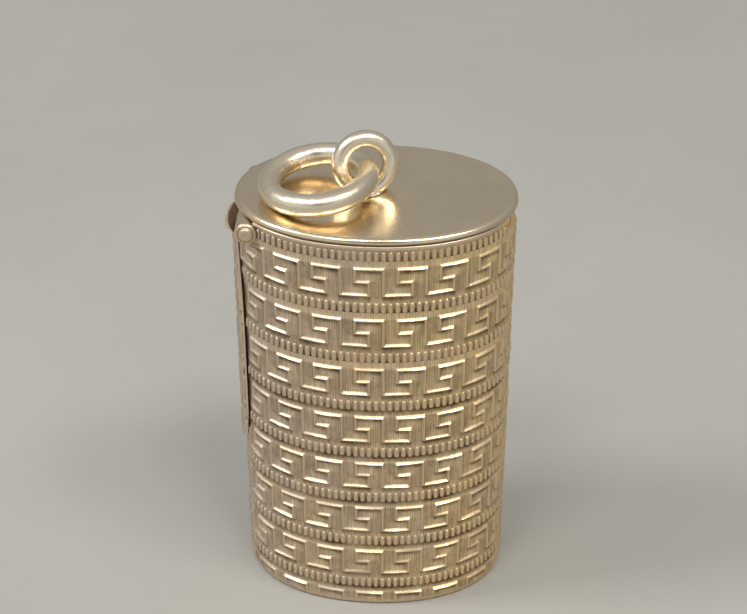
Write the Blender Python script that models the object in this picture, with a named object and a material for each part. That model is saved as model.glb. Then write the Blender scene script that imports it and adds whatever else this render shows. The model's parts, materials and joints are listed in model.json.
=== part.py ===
"""Needle case: an oval silver box with a hinged lid, a bow ring and a hinged side flap.

Units are metres, +Z is up, and the origin is the middle of the base at floor level.
X runs along the long side of the oval (the hinge is at -X), Y across it (the front is -Y).
"""
import bmesh
import bpy
from math import atan2, cos, hypot, pi, radians, sin, sqrt
from mathutils import Vector

MM = 0.001

# ---- driving dimensions ----
HALF_WIDTH = 12.2 * MM          # oval, half of the long side, at the lid's edge
HALF_DEPTH = 8.5 * MM           # oval, half of the short side
OVAL_POWER = 2.12               # 2 is an ellipse, more is squarer
OVAL_SEGMENTS = 96
LID_TOP = 40.0 * MM             # overall height of the closed case without its loop

SHELL_OFFSET = -0.10 * MM       # patterned shell's outer face, from the lid's edge
SHELL_WALL = 0.45 * MM
SHELL_TOP = 38.85 * MM
LINER_OFFSET = -0.60 * MM
LINER_WALL = 0.30 * MM
BODY_TOP = 39.35 * MM           # top of the liner and of the mouth rim
BASE_THICK = 0.50 * MM
EDGE_ROUND = 0.20 * MM
SOLDER_GAP = 0.05 * MM          # between pieces that are soldered together

LID_THICK = 0.55 * MM
LID_BOTTOM = LID_TOP - LID_THICK
LID_ROUND = 0.15 * MM
FLANGE_OFFSET = -1.05 * MM
FLANGE_WALL = 0.35 * MM
FLANGE_BOTTOM = 38.20 * MM
FLANGE_LEFT_END = -7.0 * MM     # the flange is open towards the hinge

LEAF_THICK = 0.35 * MM          # the leaf that joins the lid's knuckle to the lid
LEAF_LENGTH = 3.0 * MM

HINGE_X = -10.75 * MM
HINGE_Z = 38.33 * MM
PIN_RADIUS = 0.35 * MM
BORE_RADIUS = 0.41 * MM
KNUCKLE_RADIUS = 1.0 * MM
LID_KNUCKLE_HALF = 1.5 * MM     # the lid's knuckle is centred between the flap's arms
ARM_INNER, ARM_OUTER = 1.62 * MM, 2.06 * MM
ARM_EYE_RADIUS = 0.80 * MM
ARM_NECK_LEFT, ARM_NECK_RIGHT = 0.12 * MM, 0.45 * MM
ARM_NECK_DROP = 1.75 * MM       # below the pin, where the arm starts to reach out
ARM_FOOT_TOP, ARM_FOOT_BOTTOM = 2.5 * MM, 4.5 * MM      # below the pin, against the flap
BODY_KNUCKLE_INNER, BODY_KNUCKLE_OUTER = 2.22 * MM, 5.40 * MM
PIN_HEAD_RADIUS = 0.58 * MM
PIN_HEAD_THICK = 0.16 * MM
KNUCKLE_ROUND = 0.12 * MM

SLOT_HALF = 2.20 * MM           # round-ended slot behind the flap
SLOT_BOTTOM = 16.0 * MM
HEEL_HALF = 3.95 * MM           # wider opening above it, for the lid's heel
HEEL_BOTTOM = 36.3 * MM
HEEL_BEVEL = 0.4 * MM
NOTCH_RADIUS = 6.4 * MM         # thumb notch under the lid, opposite the hinge
NOTCH_DEPTH = 1.75 * MM
RIM_WALL = 0.5 * MM
RIM_END = HINGE_X + 0.6 * MM    # where the mouth's wire stops at the hinge

FLAP_HALF = 3.1 * MM
FLAP_BOTTOM = 14.0 * MM
FLAP_ROUND = 4.5 * MM           # height of its rounded lower end
FLAP_TAPER = 26.0 * MM          # above this height it narrows towards the hinge
FLAP_NECK_HALF = 2.35 * MM
FLAP_TOP = 37.25 * MM
FLAP_INNER = 0.0 * MM           # flap's inner face, from the lid's edge
FLAP_THICK = 0.36 * MM
FLARE_START = 35.9 * MM
FLARE_OUT = 0.66 * MM           # how far the lip stands out at the flap's top
FLAP_TOP_HALF = 2.2 * MM

LOOP_CENTRE = Vector((-0.96 * MM, 0.30 * MM, 42.34 * MM))
LOOP_YAW = radians(15)
LOOP_LEAN = radians(16)         # the loop stands leaning back
LOOP_RADIUS = 2.19 * MM
LOOP_WIRE = 0.73 * MM
LOOP_CUT = LID_TOP + 0.25 * MM  # the loop's foot is filed flat here
FOOT_LENGTH, FOOT_WIDTH = 1.35 * MM, 0.92 * MM

RING_RADIUS = 4.21 * MM
RING_WIRE = 1.0 * MM
RING_SHIFT = 0.03 * MM          # the ring hangs this far off the loop's middle
RING_Z = 42.0 * MM
RING_YAW = radians(20)
RING_TILT = radians(6.5)        # its far side rests on the lid

PAD_OFFSET = -1.0 * MM
PAD_BOTTOM, PAD_TOP = 0.65 * MM, 7.0 * MM
PAD_ROUND = 0.3 * MM
NEEDLES = 7
NEEDLE_SPACING = 1.9 * MM
NEEDLE_Y = 4.9 * MM
NEEDLE_RADIUS = 0.38 * MM
NEEDLE_TIP_RADIUS = 0.05 * MM
NEEDLE_POINT_Z, NEEDLE_EYE_Z = 3.0 * MM, 36.0 * MM
NEEDLE_TAPER = 6.0 * MM         # length of the sharpened end
NEEDLE_EYE = 1.2 * MM           # length of the end that narrows to the eye
NEEDLE_CLEARANCE = 0.06 * MM
MARGIN = 1.0 * MM               # how far cutters run past what they cut


# ---- small helpers ----
def clear_scene():
    for old in list(bpy.data.objects):
        bpy.data.objects.remove(old, do_unlink=True)


def material(name, colour, roughness, metallic):
    mat = bpy.data.materials.new(name)
    mat.use_nodes = True
    shader = mat.node_tree.nodes["Principled BSDF"]
    shader.inputs["Base Color"].default_value = (*colour, 1.0)
    shader.inputs["Roughness"].default_value = roughness
    shader.inputs["Metallic"].default_value = metallic
    return mat


def new_object(name, bm, mat, origin=(0, 0, 0)):
    """Closes the bmesh into an object whose own origin is at the given point."""
    bmesh.ops.recalc_face_normals(bm, faces=bm.faces)
    bmesh.ops.translate(bm, verts=bm.verts, vec=-Vector(origin))
    mesh = bpy.data.meshes.new(name)
    bm.to_mesh(mesh)
    bm.free()
    mesh.shade_smooth()
    mesh.set_sharp_from_angle(angle=radians(35))
    obj = bpy.data.objects.new(name, mesh)
    obj.location = origin
    bpy.context.collection.objects.link(obj)
    mesh.materials.append(mat)
    return obj


def as_cutter(obj):
    obj.hide_render = True
    obj.display_type = "WIRE"
    return obj


def cut(target, *cutters):
    for cutter in cutters:
        modifier = target.modifiers.new("cut_" + cutter.name, "BOOLEAN")
        modifier.operation = "DIFFERENCE"
        modifier.object = cutter


def oval_x(y, offset):
    """Distance from the YZ plane to the oval's end, at a given y."""
    share = min(1.0, abs(y) / (HALF_DEPTH + offset))
    return (HALF_WIDTH + offset) * (1 - share ** OVAL_POWER) ** (1 / OVAL_POWER)


def oval(offset, count=OVAL_SEGMENTS):
    """Points round the oval, moved out by offset, equally spaced along its edge."""
    fine = 32 * count
    dense = []
    for step in range(fine):
        angle = 2 * pi * step / fine
        c, s = cos(angle), sin(angle)
        x = (HALF_WIDTH + offset) * abs(c) ** (2 / OVAL_POWER) * (1 if c > 0 else -1)
        y = (HALF_DEPTH + offset) * abs(s) ** (2 / OVAL_POWER) * (1 if s > 0 else -1)
        dense.append((x, y))
    lengths = [0.0]
    for first, second in zip(dense, dense[1:] + dense[:1]):
        lengths.append(lengths[-1] + hypot(second[0] - first[0], second[1] - first[1]))
    points, k = [], 0
    for step in range(count):
        wanted = lengths[-1] * step / count
        while lengths[k + 1] < wanted:
            k += 1
        points.append(dense[k if wanted - lengths[k] < lengths[k + 1] - wanted else (k + 1) % fine])
    return points


def bridge(bm, first, second):
    count = len(first)
    for i in range(count):
        j = (i + 1) % count
        bm.faces.new((first[i], first[j], second[j], second[i]))


def stack(rings, closed):
    """A solid skinned over rings of points. Closed joins the last ring to the first."""
    bm = bmesh.new()
    loops = [[bm.verts.new(p) for p in ring] for ring in rings]
    for first, second in zip(loops, loops[1:]):
        bridge(bm, first, second)
    if closed:
        bridge(bm, loops[-1], loops[0])
    else:
        bm.faces.new(loops[0])
        bm.faces.new(loops[-1])
    return bm


def oval_rings(profile):
    return [[(x, y, z) for x, y in oval(offset)] for offset, z in profile]


def oval_tube(name, outer, wall, bottom, top, mat, origin=(0, 0, 0)):
    inner = outer - wall
    profile = [(outer, bottom), (outer, top), (inner, top), (inner, bottom)]
    return new_object(name, stack(oval_rings(profile), True), mat, origin)


def oval_plate(name, offset, bottom, top, rounding, mat, origin=(0, 0, 0)):
    profile = [(offset - rounding, bottom), (offset, bottom + rounding),
               (offset, top - rounding), (offset - rounding, top)]
    return new_object(name, stack(oval_rings(profile), False), mat, origin)


def turned_along_y(profile, x, z, closed, segments=32):
    """A solid turned about a line along Y. The profile is (radius, y) pairs."""
    angles = [2 * pi * i / segments for i in range(segments)]
    rings = [[(x + r * cos(a), y, z + r * sin(a)) for a in angles] for r, y in profile]
    return stack(rings, closed)


def prism(outline, axis, low, high):
    """An outline pushed along X or Y. Its points are (y, z) for X and (x, z) for Y."""
    def place(point, along):
        u, v = point
        return (along, u, v) if axis == "X" else (u, along, v)
    return stack([[place(p, low) for p in outline], [place(p, high) for p in outline]], False)


def arc(centre, radius, start, end, steps):
    cu, cv = centre
    angles = [radians(start + (end - start) * i / steps) for i in range(steps + 1)]
    return [(cu + radius * cos(a), cv + radius * sin(a)) for a in angles]


def torus(centre, radius, wire, u, v, major=64, minor=20):
    """A ring of round wire whose circle lies in the plane of the unit vectors u and v."""
    normal = u.cross(v)
    rings = []
    for i in range(major):
        a = 2 * pi * i / major
        out = u * cos(a) + v * sin(a)
        ring = []
        for j in range(minor):
            b = 2 * pi * j / minor
            ring.append(centre + out * (radius + wire * cos(b)) + normal * (wire * sin(b)))
        rings.append(ring)
    return stack(rings, True)


# ---- cutters ----
def slot_cutter():
    """Round-ended slot in the narrow end, wider at the top where the lid's heel turns."""
    bottom_arc = arc((0, SLOT_BOTTOM + SLOT_HALF), SLOT_HALF, 180, 360, 24)
    heel_start, top = HEEL_BOTTOM + HEEL_BEVEL, LID_TOP + MARGIN
    outline = bottom_arc + [(SLOT_HALF, HEEL_BOTTOM), (HEEL_HALF, heel_start), (HEEL_HALF, top),
                            (-HEEL_HALF, top), (-HEEL_HALF, heel_start), (-SLOT_HALF, HEEL_BOTTOM)]
    bm = prism(outline, "X", -HALF_WIDTH - MARGIN, -HALF_WIDTH + 4 * MM)
    return as_cutter(new_object("slot_cutter", bm, SILVER))


def knuckle_cutter():
    """Round seat across the case for the hinge's fixed knuckles."""
    seat = KNUCKLE_RADIUS + SOLDER_GAP
    bm = turned_along_y([(seat, -HALF_DEPTH), (seat, HALF_DEPTH)], HINGE_X, HINGE_Z, False, 40)
    return as_cutter(new_object("knuckle_cutter", bm, SILVER))


def notch_cutter():
    """Shallow arch in the right-hand end, where a thumbnail lifts the lid."""
    centre = (0, BODY_TOP - NOTCH_DEPTH + NOTCH_RADIUS)
    outline = arc(centre, NOTCH_RADIUS, 0, 352.5, 47)
    bm = prism(outline, "X", HALF_WIDTH - 5 * MM, HALF_WIDTH + MARGIN)
    return as_cutter(new_object("notch_cutter", bm, SILVER))


def block_cutter(name, low, high):
    outline = [(low[0], low[2]), (high[0], low[2]), (high[0], high[2]), (low[0], high[2])]
    return as_cutter(new_object(name, prism(outline, "Y", low[1], high[1]), SILVER))


# ---- case ----
def body_shell():
    profile = [(SHELL_OFFSET - EDGE_ROUND, 0), (SHELL_OFFSET, EDGE_ROUND), (SHELL_OFFSET, SHELL_TOP),
               (SHELL_OFFSET - SHELL_WALL, SHELL_TOP), (SHELL_OFFSET - SHELL_WALL, 0)]
    shell = new_object("body_shell", stack(oval_rings(profile), True), SILVER)
    cut(shell, SLOT, KNUCKLE_SEAT, NOTCH)


def base_plate():
    offset = SHELL_OFFSET - SHELL_WALL - SOLDER_GAP
    oval_plate("base_plate", offset, 0, BASE_THICK, 0.05 * MM, SILVER)


def inner_liner():
    liner = oval_tube("inner_liner", LINER_OFFSET, LINER_WALL, BASE_THICK + SOLDER_GAP, BODY_TOP, GILT)
    cut(liner, SLOT, KNUCKLE_SEAT)


def mouth_rims():
    """Plain wire round the mouth, in a front and a back half."""
    for name, side in (("mouth_rim_front", -1), ("mouth_rim_back", 1)):
        rim = oval_tube(name, 0, RIM_WALL, SHELL_TOP + SOLDER_GAP, BODY_TOP, SILVER)
        left, bottom, top = -HALF_WIDTH - MARGIN, SHELL_TOP - MARGIN, LID_TOP + MARGIN
        near, far = sorted((0, -side * (HALF_DEPTH + MARGIN)))
        other_half = block_cutter(name + "_half", (left, near, bottom), (HALF_WIDTH + MARGIN, far, top))
        hinge_end = block_cutter(name + "_end", (left, -HALF_DEPTH, bottom), (RIM_END, HALF_DEPTH, top))
        cut(rim, other_half, hinge_end, KNUCKLE_SEAT, NOTCH)


def body_knuckles():
    for name, side in (("body_knuckle_front", -1), ("body_knuckle_back", 1)):
        near, far = side * BODY_KNUCKLE_INNER, side * BODY_KNUCKLE_OUTER
        profile = [(BORE_RADIUS, near), (KNUCKLE_RADIUS, near), (KNUCKLE_RADIUS, far - side * KNUCKLE_ROUND),
                   (KNUCKLE_RADIUS - KNUCKLE_ROUND, far), (BORE_RADIUS, far)]
        new_object(name, turned_along_y(profile, HINGE_X, HINGE_Z, True), SILVER)


def hinge_pin():
    shaft_end = BODY_KNUCKLE_OUTER + SOLDER_GAP
    tip = shaft_end + PIN_HEAD_THICK
    half = [(PIN_HEAD_RADIUS * 0.6, tip), (PIN_HEAD_RADIUS * 0.9, shaft_end + PIN_HEAD_THICK * 0.6),
            (PIN_HEAD_RADIUS, shaft_end), (PIN_RADIUS, shaft_end)]
    profile = [(r, -y) for r, y in half] + [(r, y) for r, y in reversed(half)]
    new_object("hinge_pin", turned_along_y(profile, HINGE_X, HINGE_Z, False), SILVER)


# ---- contents ----
def needle_places():
    start = -NEEDLE_SPACING * (NEEDLES - 1) / 2
    return [(start + NEEDLE_SPACING * i, NEEDLE_Y) for i in range(NEEDLES)]


def needle_rings(radius, bottom, top, x, y, segments=10):
    angles = [2 * pi * i / segments for i in range(segments)]
    return [[(x + r * cos(a), y + r * sin(a), z) for a in angles]
            for r, z in zip(radius, (bottom, bottom + NEEDLE_TAPER, top - NEEDLE_EYE, top))]


def felt_pad():
    pad = oval_plate("felt_pad", PAD_OFFSET, PAD_BOTTOM, PAD_TOP, PAD_ROUND, FELT)
    hole = NEEDLE_RADIUS + NEEDLE_CLEARANCE
    bottom, top, segments = NEEDLE_POINT_Z - NEEDLE_CLEARANCE, PAD_TOP + MARGIN, 12
    holes = bmesh.new()
    for x, y in needle_places():
        bmesh.ops.create_cone(holes, cap_ends=True, segments=segments, radius1=hole, radius2=hole,
                              depth=top - bottom)
        bmesh.ops.translate(holes, verts=holes.verts[-2 * segments:], vec=(x, y, (bottom + top) / 2))
    cut(pad, as_cutter(new_object("needle_holes", holes, FELT)))


def needles():
    r = NEEDLE_RADIUS
    for i, (x, y) in enumerate(needle_places()):
        rings = needle_rings((NEEDLE_TIP_RADIUS, r, r, 0.6 * r), NEEDLE_POINT_Z, NEEDLE_EYE_Z, x, y)
        new_object(f"needle_{i + 1}", stack(rings, False), STEEL)


# ---- lid ----
def lid_plate():
    oval_plate("lid_plate", 0, LID_BOTTOM, LID_TOP, LID_ROUND, SILVER, HINGE)


def lid_flange():
    flange = oval_tube("lid_flange", FLANGE_OFFSET, FLANGE_WALL, FLANGE_BOTTOM,
                       LID_BOTTOM - SOLDER_GAP, GILT, HINGE)
    left = block_cutter("flange_end", (-HALF_WIDTH, -HALF_DEPTH, FLANGE_BOTTOM - MARGIN),
                        (FLANGE_LEFT_END, HALF_DEPTH, LID_TOP))
    cut(flange, left)


def lid_knuckle():
    """The lid's knuckle with the leaf that is soldered under the lid."""
    leaf_top = LID_BOTTOM - SOLDER_GAP
    leaf_bottom = leaf_top - LEAF_THICK
    leaf_end = HINGE_X + LEAF_LENGTH
    lift = leaf_bottom - HINGE_Z
    start = sqrt(KNUCKLE_RADIUS ** 2 - lift ** 2)
    angle = atan2(lift, start) * 180 / pi
    outline = arc((HINGE_X, HINGE_Z), KNUCKLE_RADIUS, 90, 360 + angle, 36)
    outline += [(leaf_end, leaf_bottom), (leaf_end, leaf_top), (HINGE_X, leaf_top)]
    bm = prism(outline, "Y", -LID_KNUCKLE_HALF, LID_KNUCKLE_HALF)
    knuckle = new_object("lid_knuckle", bm, SILVER, HINGE)
    reach = LID_KNUCKLE_HALF + MARGIN
    bore = turned_along_y([(BORE_RADIUS, -reach), (BORE_RADIUS, reach)], HINGE_X, HINGE_Z, False)
    cut(knuckle, as_cutter(new_object("lid_knuckle_bore", bore, SILVER)))


def loop_axes():
    """Unit vectors across the loop and up its leaning plane."""
    across = Vector((cos(LOOP_YAW), sin(LOOP_YAW), 0))
    back = Vector((-sin(LOOP_YAW), cos(LOOP_YAW), 0))
    return across, back * sin(LOOP_LEAN) + Vector((0, 0, cos(LOOP_LEAN)))


def hanging_loop():
    across, up = loop_axes()
    bm = torus(LOOP_CENTRE, LOOP_RADIUS, LOOP_WIRE, across, up, 44, 16)
    loop = new_object("hanging_loop", bm, SILVER, HINGE)
    reach = LOOP_RADIUS + LOOP_WIRE + MARGIN
    below = block_cutter("loop_foot_cutter", (LOOP_CENTRE.x - reach, LOOP_CENTRE.y - reach, LID_BOTTOM - MARGIN),
                         (LOOP_CENTRE.x + reach, LOOP_CENTRE.y + reach, LOOP_CUT))
    cut(loop, below)


def loop_foot():
    """The bead of solder that the loop stands in."""
    across, up = loop_axes()
    along = Vector((-across.y, across.x, 0))
    foot = LOOP_CENTRE - up * LOOP_RADIUS
    rings = []
    for scale, z in ((1.0, LID_TOP + SOLDER_GAP), (0.96, LID_TOP + 0.1 * MM), (0.8, LOOP_CUT - SOLDER_GAP)):
        ring = []
        for i in range(32):
            a = 2 * pi * i / 32
            p = across * (FOOT_LENGTH * scale * cos(a)) + along * (FOOT_WIDTH * scale * sin(a))
            ring.append((foot.x + p.x, foot.y + p.y, z))
        rings.append(ring)
    new_object("loop_foot", stack(rings, False), SILVER, HINGE)


def bow_ring():
    across, _ = loop_axes()
    pivot = LOOP_CENTRE + across * RING_SHIFT
    pivot.z = RING_Z
    heading = Vector((cos(RING_YAW), sin(RING_YAW), 0))
    towards = -(heading * cos(RING_TILT) + Vector((0, 0, sin(RING_TILT))))
    side = Vector((-heading.y, heading.x, 0))
    bm = torus(pivot + towards * RING_RADIUS, RING_RADIUS, RING_WIRE, towards, side, 60, 18)
    new_object("bow_ring", bm, SILVER, pivot)


# ---- side flap ----
def flap_half_width(z):
    if z < FLAP_BOTTOM + FLAP_ROUND:
        rise = max(0.02 * MM, z - FLAP_BOTTOM)
        return FLAP_HALF * sqrt(1 - (1 - rise / FLAP_ROUND) ** 2)
    if z > FLARE_START:
        share = (z - FLARE_START) / (FLAP_TOP - FLARE_START)
        return FLAP_NECK_HALF - (FLAP_NECK_HALF - FLAP_TOP_HALF) * share ** 2
    share = max(0.0, (z - FLAP_TAPER) / (FLARE_START - FLAP_TAPER))
    return FLAP_HALF - (FLAP_HALF - FLAP_NECK_HALF) * share ** 2


def flap_flare(z):
    share = max(0.0, (z - FLARE_START) / (FLAP_TOP - FLARE_START))
    return FLARE_OUT * share ** 1.3


def flap_levels():
    """Heights of the rows: close together round the end and in the flare."""
    round_end = [FLAP_BOTTOM + FLAP_ROUND * (1 - cos(pi / 2 * i / 10)) for i in range(11)]
    straight = [FLAP_TAPER + (FLARE_START - FLAP_TAPER) * i / 6 for i in range(7)]
    flare = [FLARE_START + (FLAP_TOP - FLARE_START) * i / 8 for i in range(1, 9)]
    return round_end + straight + flare


def side_flap():
    columns = 24
    rings = []
    for z in flap_levels():
        half = flap_half_width(z)
        lift = flap_flare(z)
        outer, inner = [], []
        for i in range(columns + 1):
            y = half * (2 * i / columns - 1)
            inner.append((-oval_x(y, FLAP_INNER) - lift, y, z))
            outer.append((-oval_x(y, FLAP_INNER + FLAP_THICK) - lift, y, z))
        rings.append(outer + inner[::-1])
    new_object("side_flap", stack(rings, False), SILVER, HINGE)


def flap_arms():
    """Cheeks that carry the flap on the hinge pin, one each side of the lid's knuckle."""
    heel_x = -oval_x(ARM_OUTER, FLAP_INNER) + SOLDER_GAP
    top, bottom = HINGE_Z - ARM_FOOT_TOP, HINGE_Z - ARM_FOOT_BOTTOM
    outline = arc((HINGE_X, HINGE_Z), ARM_EYE_RADIUS, -50, 230, 30)
    outline += [(HINGE_X - ARM_NECK_LEFT, HINGE_Z - ARM_NECK_DROP), (heel_x, top), (heel_x, bottom),
                (HINGE_X + ARM_NECK_RIGHT, top + 0.2 * MM)]
    for name, side in (("flap_arm_front", -1), ("flap_arm_back", 1)):
        low, high = sorted((side * ARM_INNER, side * ARM_OUTER))
        arm = new_object(name, prism(outline, "Y", low, high), SILVER, HINGE)
        profile = [(BORE_RADIUS, low - MARGIN), (BORE_RADIUS, high + MARGIN)]
        bore = turned_along_y(profile, HINGE_X, HINGE_Z, False)
        cut(arm, as_cutter(new_object(name + "_bore", bore, SILVER)))


clear_scene()
SILVER = material("silver", (0.66, 0.60, 0.50), 0.30, 1.0)
GILT = material("silver_gilt", (0.85, 0.62, 0.27), 0.25, 1.0)
STEEL = material("needle_steel", (0.70, 0.71, 0.72), 0.18, 1.0)
FELT = material("wool_felt", (0.22, 0.03, 0.04), 0.95, 0.0)
HINGE = (HINGE_X, 0, HINGE_Z)

SLOT = slot_cutter()
KNUCKLE_SEAT = knuckle_cutter()
NOTCH = notch_cutter()

body_shell()
base_plate()
inner_liner()
mouth_rims()
body_knuckles()
hinge_pin()
felt_pad()
needles()
lid_plate()
lid_flange()
lid_knuckle()
loop_foot()
hanging_loop()
bow_ring()
side_flap()
flap_arms()
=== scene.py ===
"""The looks of an oval silver needle case with a raised key pattern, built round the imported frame."""
import json
from math import atan2, cos, pi, radians, sin, sqrt

import bmesh
import bpy
import numpy as np
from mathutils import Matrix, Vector, noise


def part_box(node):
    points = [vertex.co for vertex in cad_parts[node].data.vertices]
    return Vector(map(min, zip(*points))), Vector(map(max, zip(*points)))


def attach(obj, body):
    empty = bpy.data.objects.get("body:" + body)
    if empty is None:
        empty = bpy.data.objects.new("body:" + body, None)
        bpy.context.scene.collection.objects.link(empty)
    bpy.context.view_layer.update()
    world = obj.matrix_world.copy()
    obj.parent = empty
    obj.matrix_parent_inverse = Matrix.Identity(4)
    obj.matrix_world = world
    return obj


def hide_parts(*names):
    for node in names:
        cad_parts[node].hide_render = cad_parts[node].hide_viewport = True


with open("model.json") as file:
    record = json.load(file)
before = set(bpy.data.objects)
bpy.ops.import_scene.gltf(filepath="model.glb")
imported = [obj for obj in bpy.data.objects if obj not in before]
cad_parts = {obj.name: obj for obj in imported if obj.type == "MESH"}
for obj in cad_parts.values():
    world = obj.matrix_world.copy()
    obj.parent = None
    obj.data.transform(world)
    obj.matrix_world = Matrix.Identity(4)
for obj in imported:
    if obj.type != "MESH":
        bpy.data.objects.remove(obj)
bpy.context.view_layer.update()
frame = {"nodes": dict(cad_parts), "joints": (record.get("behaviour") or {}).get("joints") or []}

# Lengths are in millimetres until new_piece turns them into metres.
MM = 0.001


def corners(node):
    low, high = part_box(node)
    return np.array(low) / MM, np.array(high) / MM


def joint_line(name):
    found = next(j for j in frame["joints"] if j["name"] == name)
    return np.array(found["pos_m"]) / MM, np.array(found["axis"])


# ---- sizes read from the frame ----
LID_LOW, LID_HIGH = corners("lid_plate")
HALF_WIDTH, HALF_DEPTH, LID_TOP = LID_HIGH
LID_BOTTOM = LID_LOW[2]
SHELL_TOP = corners("body_shell")[1][2]
RIM_LOW, RIM_HIGH = corners("mouth_rim_front")
LINER_LOW, LINER_HIGH = corners("inner_liner")
FLANGE_LOW, FLANGE_HIGH = corners("lid_flange")
FLAP_LOW, FLAP_HIGH = corners("side_flap")
PAD_LOW, PAD_HIGH = corners("felt_pad")
BASE_LOW, BASE_HIGH = corners("base_plate")
KNUCKLE_LOW, KNUCKLE_HIGH = corners("body_knuckle_back")
HINGE = joint_line("lid_hinge")[0]
RING_PIVOT, RING_AXIS = joint_line("ring_swing")


def mirrored(lines):
    """Lines on one side of a ridge or bead, then the same on the other side."""
    return (*lines, *(-line for line in reversed(lines)))


# ---- driving dimensions of the looks ----
OVAL_POWER = 2.12               # 2 is an ellipse, more is squarer
OVAL_COLUMNS = 240
SHELL_WALL = 0.32
GROUND_OFFSET = -0.24           # the pattern's ground, from the lid's edge

MOTIFS = 18                     # keys round the case
BANDS = 8                       # rows of keys, the last cut off by the base
ROW_PITCH = 5.10
TOP_BAR_Z = 37.08               # the highest bar of the first row
KEY_START = -1.43               # a key's top bar starts this far from the front's middle
RIDGE_HEIGHT = 0.21
UPRIGHT_SHARE = 0.90            # the uprights are worn lower than the bars
RIDGE_FLAT, RIDGE_FOOT = 0.025, 0.205
CREASE = 0.03                   # mesh lines this near an edge keep its shading crisp
RIDGE_LINES = mirrored((RIDGE_FOOT, RIDGE_FOOT - CREASE, RIDGE_FLAT + CREASE, RIDGE_FLAT))
BEADS = 6                       # upright beads to each key
BEAD_HEIGHT = 0.18
BEAD_FOOT = 0.24
BEAD_SIDES = (0.0, *mirrored((BEAD_FOOT, BEAD_FOOT - CREASE, BEAD_FOOT / 2)))
BEAD_HALF = 0.49                # half the length of a bead
BEAD_DEPTH = 3.85               # middle of the beads, below the top bar over them
BEAD_LINES = mirrored([BEAD_HALF - inward for inward in (0.0, CREASE, BEAD_FOOT / 2, BEAD_FOOT)])
SHADE_DROP, SHADE_REACH = 0.22, 0.20    # painted shade lies below each bar, this far down and this wide
HATCH_PITCH = 0.225             # fine upright lines drawn on the ground
BASE_FADE = 0.35                # the pattern dies away into the rounded base edge

SLOT_HALF, SLOT_BOTTOM = 2.20, 16.0
HEEL_HALF, HEEL_BOTTOM, HEEL_BEVEL = 3.95, 36.3, 0.4
NOTCH_RADIUS, NOTCH_DEPTH = 6.4, 1.75
KNUCKLE_RADIUS = (KNUCKLE_HIGH[2] - KNUCKLE_LOW[2]) / 2
SEAT_GAP = 0.05
BORE_RADIUS = 0.41
MARGIN = 1.0                    # how far cutters run past what they cut

FLARE_START, FLARE_OUT = 35.9, 0.66     # the lip turns outwards above this height
FLAP_ROUND = 4.5                # height of its rounded foot
FLAP_TAPER = 26.0               # above this height it narrows
FLAP_WINDOW = 0.075             # share of the way round, on each side, that its slab is cut from
FLAP_HALF, FLAP_NECK_HALF, FLAP_TOP_HALF = FLAP_HIGH[1], 2.35, 2.2
FLAP_THICK = 0.36

LOOP_RADIUS, LOOP_WIRE = 2.19, 0.73
LOOP_YAW, LOOP_LEAN = radians(15), radians(16)
RING_WIRE = 1.0


# ---- the oval ----
def oval_table(steps=14400):
    """x, y, outward normal and length so far, round the oval from -X by way of the front."""
    angle = np.linspace(pi, 3 * pi, steps + 1)
    c, s = np.cos(angle), np.sin(angle)
    x = HALF_WIDTH * np.abs(c) ** (2 / OVAL_POWER) * np.sign(c)
    y = HALF_DEPTH * np.abs(s) ** (2 / OVAL_POWER) * np.sign(s)
    across = np.sign(c) * np.abs(x / HALF_WIDTH) ** (OVAL_POWER - 1) / HALF_WIDTH
    along = np.sign(s) * np.abs(y / HALF_DEPTH) ** (OVAL_POWER - 1) / HALF_DEPTH
    size = np.hypot(across, along)
    length = np.concatenate([[0], np.cumsum(np.hypot(np.diff(x), np.diff(y)))])
    return x, y, across / size, along / size, length


OVAL = oval_table()
LENGTH = OVAL[4][-1]
PITCH = LENGTH / MOTIFS
CELL_WIDTH, CELL_HEIGHT = PITCH / 3, ROW_PITCH / 4
BEAD_PITCH = PITCH / BEADS


def around(share, offset=0.0):
    """x and y at a share of the way round the oval, moved out by offset."""
    x, y, nx, ny = (np.interp(np.mod(share, 1) * LENGTH, OVAL[4], column) for column in OVAL[:4])
    return x + offset * nx, y + offset * ny


def oval_ring(offset, z, columns=OVAL_COLUMNS):
    x, y = around(np.arange(columns) / columns, offset)
    return np.column_stack([x, y, np.full(columns, z)])


# ---- mesh helpers ----
def new_mesh(name, points, faces, smooth=38):
    """A mesh in metres, with its faces pointing out and its edges sharp past an angle."""
    mesh = bpy.data.meshes.new(name)
    mesh.from_pydata([tuple(p) for p in np.asarray(points) * MM], [], faces)
    point_out(mesh)
    shade(mesh, smooth)
    return mesh


def point_out(mesh):
    bm = bmesh.new()
    bm.from_mesh(mesh)
    bmesh.ops.recalc_face_normals(bm, faces=bm.faces)
    bm.to_mesh(mesh)
    bm.free()


def shade(mesh, smooth):
    mesh.shade_smooth()
    mesh.set_sharp_from_angle(angle=radians(smooth))


def new_object(name, mesh):
    obj = bpy.data.objects.new(name, mesh)
    bpy.context.scene.collection.objects.link(obj)
    return obj


def new_piece(name, shape, mat, body, replaced, smooth=38):
    """A shown piece from (points, faces): it rides on a body and stands for CAD nodes."""
    return dress(new_object(name, new_mesh(name, *shape, smooth)), mat, body, replaced)


def dress(piece, mat, body, replaced):
    piece.data.materials.clear()
    piece.data.materials.append(mat)
    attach(piece, body)
    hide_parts(*replaced)
    return piece


def apply_modifiers(obj):
    graph = bpy.context.evaluated_depsgraph_get()
    mesh = bpy.data.meshes.new_from_object(obj.evaluated_get(graph))
    obj.modifiers.clear()
    obj.data = mesh


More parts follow.
